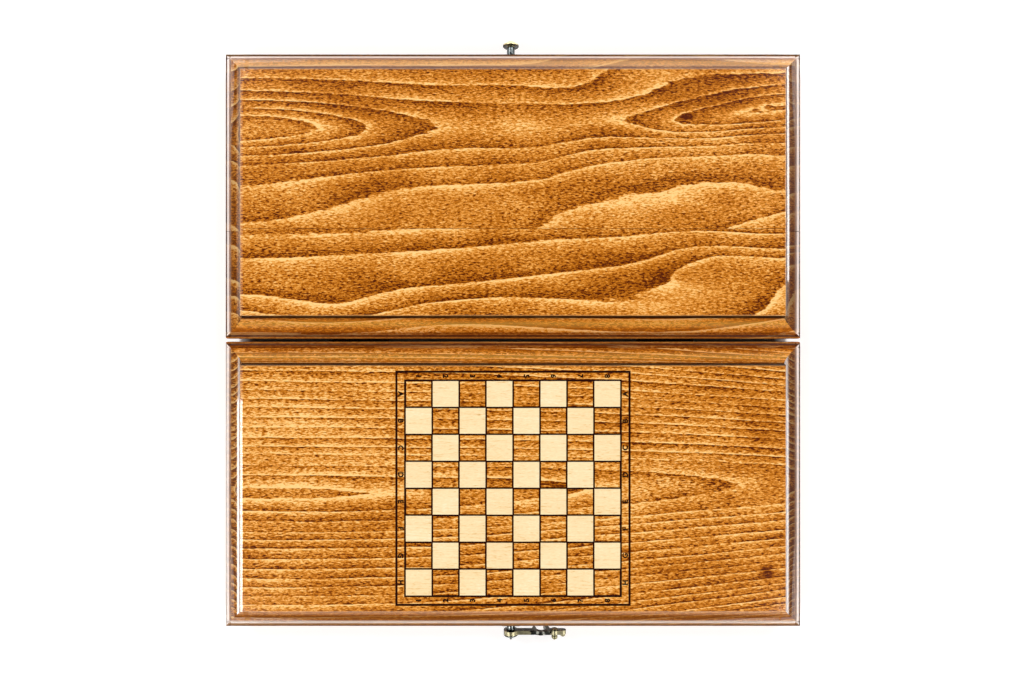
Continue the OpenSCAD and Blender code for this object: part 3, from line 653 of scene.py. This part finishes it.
def darkened_metal(name, bright, skin, skin_cover, rough_bright, rough_skin, edge_mm=0.2,
                   sheen_and_wear_side=(0, 0, 1), sheen_and_wear=0.0, sheen_and_wear_colour="d8d0a8", kept=None):
    """A metal with a dark skin, worn through along its edges. The faces turned to one side are
    also bared and painted pale, a painted highlight on the stud and the hook and wear on the
    knob, but
    for the stretch that is kept: its axis, middle, half length and how ragged it ends, in mm."""
    finish, tree = new_finish(name)
    place = place_in_mm(tree)
    rounded = add_node(tree, "ShaderNodeBevel", {"Radius": edge_mm * MM}, samples=EDGE_SAMPLES)
    true_side = add_node(tree, "ShaderNodeNewGeometry").outputs["Normal"]
    same = add_node(tree, "ShaderNodeVectorMath", {0: rounded, 1: true_side},
                    operation="DOT_PRODUCT").outputs["Value"]
    on_edge = add_node(tree, "ShaderNodeMapRange", {
        "Value": same, "From Min": 0.75, "From Max": 0.99, "To Min": 1, "To Max": 0})
    cloud = add_node(tree, "ShaderNodeTexNoise", {
        "Vector": place, "Scale": 0.35, "Detail": 5, "Roughness": 0.65})
    cover = add_node(tree, "ShaderNodeMapRange", {
        "Value": cloud, "From Min": 0.62, "From Max": 0.38, "To Min": skin_cover - 0.3,
        "To Max": min(1.0, skin_cover + 0.25)})
    cover = add_node(tree, "ShaderNodeMath", {0: cover, 1: on_edge}, operation="SUBTRACT")
    facing = add_node(tree, "ShaderNodeTexCoord").outputs["Normal"]
    facing = add_node(tree, "ShaderNodeVectorMath", {0: facing, 1: sheen_and_wear_side},
                      operation="DOT_PRODUCT").outputs["Value"]
    facing = add_node(tree, "ShaderNodeMapRange", {
        "Value": facing, "From Min": 0.3, "From Max": 0.55, "To Max": sheen_and_wear})
    if kept:
        axis, middle, half, ragged = kept
        past = add_node(tree, "ShaderNodeSeparateXYZ", {0: place}).outputs[axis]
        past = add_node(tree, "ShaderNodeMath", {0: past, 1: middle}, operation="SUBTRACT")
        past = add_node(tree, "ShaderNodeMath", {0: past}, operation="ABSOLUTE")
        past = add_node(tree, "ShaderNodeMath", {0: cloud, 1: ragged, 2: past},
                        operation="MULTIPLY_ADD")
        past = add_node(tree, "ShaderNodeMapRange", {
            "Value": past, "From Min": half + 0.45 * ragged, "From Max": half + 0.53 * ragged})
        facing = add_node(tree, "ShaderNodeMath", {0: facing, 1: past}, operation="MULTIPLY")
    cover = add_node(tree, "ShaderNodeMath", {0: cover, 1: facing}, operation="SUBTRACT",
                     use_clamp=True)
    bare = add_node(tree, "ShaderNodeMix", {
        "Factor": facing, "A": colour(bright), "B": colour(sheen_and_wear_colour)}, data_type="RGBA")
    mixed = add_node(tree, "ShaderNodeMix", {
        "Factor": cover, "A": bare, "B": colour(skin)}, data_type="RGBA")
    pits = add_node(tree, "ShaderNodeTexNoise", {
        "Vector": place, "Scale": 2.2, "Detail": 3, "Roughness": 0.7})
    rough = add_node(tree, "ShaderNodeMapRange", {
        "Value": cover, "To Min": rough_bright, "To Max": rough_skin})
    speckle = add_node(tree, "ShaderNodeMath", {0: pits, 1: 0.2, 2: -0.1},
                       operation="MULTIPLY_ADD")
    rough = add_node(tree, "ShaderNodeMath", {0: rough, 1: speckle}, operation="ADD")
    relief = add_node(tree, "ShaderNodeBump", {
        "Height": pits, "Strength": 0.5, "Distance": 0.06 * MM, "Normal": rounded})
    shader = add_node(tree, "ShaderNodeBsdfPrincipled", {
        "Base Color": mixed, "Metallic": 1.0, "Roughness": rough, "Normal": relief})
    add_node(tree, "ShaderNodeOutputMaterial", {"Surface": shader})
    print("finish:", name)
    return finish


# The upper side of the cap is painted pale: a painted highlight.
stud_brass = darkened_metal(
    "turned brass, grey-green skin, cap with painted highlight", "a9b0b0", "15191c", 0.9, 0.4, 0.2,
    sheen_and_wear_side=(0, 0.15, 1), sheen_and_wear=0.85, sheen_and_wear_colour="efe4b0", kept=("Y", 200, 7.1, 1))
# The upper faces are painted pale, a painted highlight, but for the middle of the hook.
hook_bronze = darkened_metal(
    "blackened bronze, upper faces with painted highlight", "a8a89c", "14120f", 0.95, 0.42, 0.25,
    sheen_and_wear=0.7, sheen_and_wear_colour="a4986c", kept=("X", 19.5, 7, 12))
plate_bronze = darkened_metal(
    "blackened bronze, silvery where it is bare", "cdd2cc", "0e1113", 0.75, 0.3, 0.22)
grip_bronze = darkened_metal(
    "blackened bronze knob, worn at its end", "d8d0a0", "2a1c10", 0.85, 0.35, 0.25,
    sheen_and_wear_side=(0, -1, 0), sheen_and_wear=0.5)
hinge_brass = darkened_metal(
    "rolled hinge brass", "d9b566", "8a6a35", 0.4, 0.3, 0.42, edge_mm=0.35)

# %% [markdown]
# ## Finishes onto the pieces
#
# A CAD piece keeps its mesh and its place, and only the material in its slot changes.

# %% Put each finish on its pieces
finishes = {
    "plain_panel_wide_stave": wide_stave_beech, "plain_panel_narrow_stave": narrow_stave_beech,
    "chess_panel": chess_panel_beech, "chess_light_squares": pale_inlay,
    "latch_stud": stud_brass, "latch_hook": hook_bronze, "latch_grip": grip_bronze,
    "latch_back_plate": plate_bronze, "latch_nails": plate_bronze, "latch_pivot": plate_bronze,
}
tray_finishes = {
    "back_wall": back_wall_beech_with_painted_shade, "front_wall": wall_beech, "left_wall": side_wall_beech,
    "right_wall": side_wall_beech, "play_board": board_beech, "light_points": pale_inlay,
    "dark_points": dark_inlay,
}
for tray in ("plain_", "chess_"):
    finishes.update({tray + part: finish for part, finish in tray_finishes.items()})
for piece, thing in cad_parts.items():
    for seat in thing.material_slots:
        seat.material = finishes.get(piece, hinge_brass)
print("finished pieces:", len(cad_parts), "of them hinge brass:",
      len(set(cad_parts) - set(finishes)))

# %% [markdown]
# ## The numbers and letters round the chessboard
#
# Each column has a number and each row a letter, printed between the squares and the frame, at
# both ends. At the top and on the left they stand with their heads to the right, at the bottom
# and on the right with their heads to the left, so that both players can read them. They are
# text objects, made a mesh, moved to their place and joined into one thin film of ink.

# %% Mix the ink
ink, tree = new_finish("brown-black transfer ink")
here = add_node(tree, "ShaderNodeTexCoord").outputs["Object"]
blotches = add_node(tree, "ShaderNodeTexNoise", {"Vector": here, "Scale": 2500, "Detail": 2})
ink_colour = add_node(tree, "ShaderNodeMix", {
    "Factor": blotches, "A": colour("0c0402"), "B": colour("281004")}, data_type="RGBA")
ink_rough = add_node(tree, "ShaderNodeMapRange", {
    "Value": blotches, "To Min": 0.3, "To Max": 0.6})
ink_shader = add_node(tree, "ShaderNodeBsdfPrincipled", {
    "Base Color": ink_colour, "Roughness": ink_rough, "Specular IOR Level": 0.05})
add_node(tree, "ShaderNodeOutputMaterial", {"Surface": ink_shader})
print("finish:", ink.name)

# %% Print the numbers and letters
ROWS = "ABCDEFGH"
MARK_HEIGHT = 3.8 * MM
MARK_FILM = 0.02 * MM  # how far the film stands out of the panel
RAW_FILM = 0.01  # the same in the text object, before it is scaled
BOLDER = 0.05  # how far the strokes are thickened there
CURVE_STEPS = 6
HEADS_RIGHT, HEADS_LEFT = math.radians(-90), math.radians(90)
mark_at = (BOARD_HALF + FRAME_HALF) / 2 * MM


def print_mark(sign, x, y, turn):
    """One sign, centred on a place of the panel, in metres from its middle, and turned."""
    bpy.ops.object.select_all(action="DESELECT")
    bpy.ops.object.text_add()
    mark = bpy.context.object
    mark.data.body, mark.data.size, mark.data.extrude = sign, 1.0, RAW_FILM
    mark.data.offset, mark.data.resolution_u = BOLDER, CURVE_STEPS
    bpy.ops.object.convert(target="MESH")
    shape = mark.data
    corners = [v.co for v in shape.vertices]
    left, right = (f(c.x for c in corners) for f in (min, max))
    foot, head = (f(c.y for c in corners) for f in (min, max))
    scale = MARK_HEIGHT / (head - foot)
    shape.transform(Matrix.Translation((-(left + right) / 2, -(foot + head) / 2, 0)))
    shape.transform(Matrix.Diagonal((scale, scale, MARK_FILM / RAW_FILM, 1)))
    shape.transform(Matrix.Translation((x, chess_middle[1] + y, chess_high.z))
                    @ Matrix.Rotation(turn, 4, "Z"))
    return mark


marks = []
for i, letter in enumerate(ROWS):
    step = (i - 3.5) * SQUARE * MM
    for sign, x, y, turn in (
            (str(i + 1), step, mark_at, HEADS_RIGHT), (str(i + 1), step, -mark_at, HEADS_LEFT),
            (letter, -mark_at, -step, HEADS_RIGHT), (letter, mark_at, -step, HEADS_LEFT)):
        marks.append(print_mark(sign, x, y, turn))
bpy.ops.object.select_all(action="DESELECT")
for mark in marks:
    mark.select_set(True)
bpy.context.view_layer.objects.active = marks[0]
bpy.ops.object.join()
chess_marks = marks[0]
chess_marks.name = "chess_board_marks"
chess_marks.data.materials.clear()
chess_marks.data.materials.append(ink)
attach(chess_marks, "chess_tray")
print("marks:", len(marks), "faces:", len(chess_marks.data.polygons))

# %% [markdown]
# ## The white table
#
# The case lies face down on a plain white table top. The table's own white is lifted a little
# beside the case, and up to full white far away, for what the camera or the varnish sees. Under
# the case nothing is lifted, so the gap between the trays and the shadow stay dark.

# %% The table
TABLE_SIZE = 6
# Where the table's white is lifted, in metres from the middle: from, to, and how much
TABLE_LIFTS = ((0.19, 0.2, 0.24), (0.4, 1.4, 0.76))


def seen_directly(tree):
    """1 for what the camera, a mirror or a glass sees, and 0 for the light on the object."""
    path = add_node(tree, "ShaderNodeLightPath")
    seen = path.outputs["Is Camera Ray"]
    for other in ("Is Glossy Ray", "Is Transmission Ray"):
        seen = add_node(tree, "ShaderNodeMath", {0: seen, 1: path.outputs[other]},
                        operation="MAXIMUM")
    return seen


bpy.ops.mesh.primitive_plane_add(size=TABLE_SIZE)
table = bpy.context.object
table.name = "table"
white, tree = new_finish("white table top, matt laminate")
sheet = add_node(tree, "ShaderNodeBsdfPrincipled", {
    "Base Color": colour("fcfcfc"), "Roughness": 0.6, "Specular IOR Level": 0.2})
spot = add_node(tree, "ShaderNodeTexCoord").outputs["Object"]
spot = add_node(tree, "ShaderNodeVectorMath", {0: spot}, operation="ABSOLUTE")
spot = add_node(tree, "ShaderNodeSeparateXYZ", {0: spot})
spot = add_node(tree, "ShaderNodeMath", {0: spot.outputs["X"], 1: spot.outputs["Y"]},
                operation="MAXIMUM")
beside, far = [
    add_node(tree, "ShaderNodeMapRange", {
        "Value": spot, "From Min": start, "From Max": end, "To Max": most})
    for start, end, most in TABLE_LIFTS]
lift = add_node(tree, "ShaderNodeMath", {0: beside, 1: far}, operation="ADD")
lift = add_node(tree, "ShaderNodeMath", {0: lift, 1: seen_directly(tree)}, operation="MULTIPLY")
glow = add_node(tree, "ShaderNodeEmission", {"Color": colour("ffffff"), "Strength": lift})
both = add_node(tree, "ShaderNodeAddShader", {0: sheet, 1: glow})
add_node(tree, "ShaderNodeOutputMaterial", {"Surface": both})
table.data.materials.append(white)
print("table, m:", TABLE_SIZE, "square")

# %% [markdown]
# ## The black cloth
#
# Gloss varnish mirrors whatever hangs above it. A black cloth overhead, a photographer's means
# against glare, keeps the flat fields clear and their colour deep. It stops no lamp light.

# %% The black cloth overhead
CLOTH_SIZE, CLOTH_HEIGHT = 10, 2
bpy.ops.mesh.primitive_plane_add(size=CLOTH_SIZE, location=(0, 0, CLOTH_HEIGHT))
cloth = bpy.context.object
cloth.name = "black_cloth_overhead"
cloth.visible_camera = cloth.visible_diffuse = cloth.visible_shadow = False
black, tree = new_finish("black cotton cloth, lightless")
weave = add_node(tree, "ShaderNodeBsdfDiffuse", {"Color": colour("101010")})
add_node(tree, "ShaderNodeOutputMaterial", {"Surface": weave})
cloth.data.materials.append(black)
print("cloth, m above the table:", CLOTH_HEIGHT)

# %% [markdown]
# ## The room and the lamps
#
# A soft box stands at each corner, as on a copy stand: from there, the flat varnish throws the
# light past a camera straight above. A faint wide glow behind the stud and three small strips low
# down by the ends light nothing. They are only mirrored, by the steep parts of the mouldings, by
# the metal and by the varnish that rolls off at the ends of the fields.

# %% The room and the lamps
CASE_MIDDLE = (0, 0, 0.02)
STRIP_HEIGHT = 0.046  # low enough to be mirrored by the ends alone
ROOM_FILL, ROOM_WHITE = 0.08, 1.0  # the room's light, and what is seen of it

# Width, height and brightness of the lamps' faces
CORNER_BOX = (0.5, 0.5, 8.9)
BACK_GLOW = (1.6, 1.0, 1.6)
STRIP_SIZE = (0.2, 0.04)
room = bpy.data.worlds.new("room")
bpy.context.scene.world = room
room.use_nodes = True
tree = room.node_tree
tree.nodes.clear()
fill, plain = [
    add_node(tree, "ShaderNodeBackground", {"Color": colour("ffffff"), "Strength": strength})
    for strength in (ROOM_FILL, ROOM_WHITE)]
room_light = add_node(tree, "ShaderNodeMixShader", {
    0: seen_directly(tree), 1: fill, 2: plain})
add_node(tree, "ShaderNodeOutputWorld", {"Surface": room_light})


def soft_box(name, place, aim, width, height, radiance, gloss_only=False):
    """A rectangular lamp, aimed at a point. Its power comes from how bright its face is."""
    bpy.ops.object.light_add(type="AREA", location=place)
    lamp = bpy.context.object
    lamp.name = name
    lamp.data.shape = "RECTANGLE"
    lamp.data.size, lamp.data.size_y = width, height
    lamp.data.energy = radiance * math.pi * width * height
    lamp.rotation_euler = (Vector(aim) - Vector(place)).to_track_quat("-Z", "Y").to_euler()
    lamp.visible_camera = False
    lamp.visible_diffuse = not gloss_only
    return lamp


lamps = [soft_box("corner_box", (x, y, 0.85), CASE_MIDDLE, *CORNER_BOX)
         for x in (-0.7, 0.7) for y in (-0.7, 0.7)]
lamps.append(soft_box("back_glow", (0, 1.0, 0.8), CASE_MIDDLE, *BACK_GLOW, gloss_only=True))
for name, x, y, radiance in (("left", -0.3, -0.15, 13), ("right", 0.3, 0.15, 13),
                             ("near_right", 0.3, -0.15, 6.5)):
    lamps.append(soft_box(name + "_low_strip", (x, y, STRIP_HEIGHT), (0, y, STRIP_HEIGHT),
                          *STRIP_SIZE, radiance, gloss_only=True))
print("lamps:", [lamp.name for lamp in lamps])

# %% [markdown]
# ## The camera
#
# The photo was taken from straight above, near enough to look down the slopes of the mouldings
# on all four sides. A wide lens half a metre up gives the same share of field and moulding.

# %% The camera
LENS, SENSOR = 24.0, 36.0  # mm
VIEWPOINT = (-0.00067, -0.00056, 0.4957)  # fitted to the outline and the fields in the photo
NEAREST = 0.01  # what is nearer than this isn't drawn
bpy.ops.object.camera_add(location=VIEWPOINT, rotation=(0, 0, 0))
camera = bpy.context.object
camera.data.lens, camera.data.sensor_width = LENS, SENSOR
camera.data.clip_start = NEAREST
bpy.context.scene.camera = camera
bpy.context.scene.view_settings.view_transform = "Standard"
print("camera, m above the table:", VIEWPOINT[2], "lens, mm:", LENS)
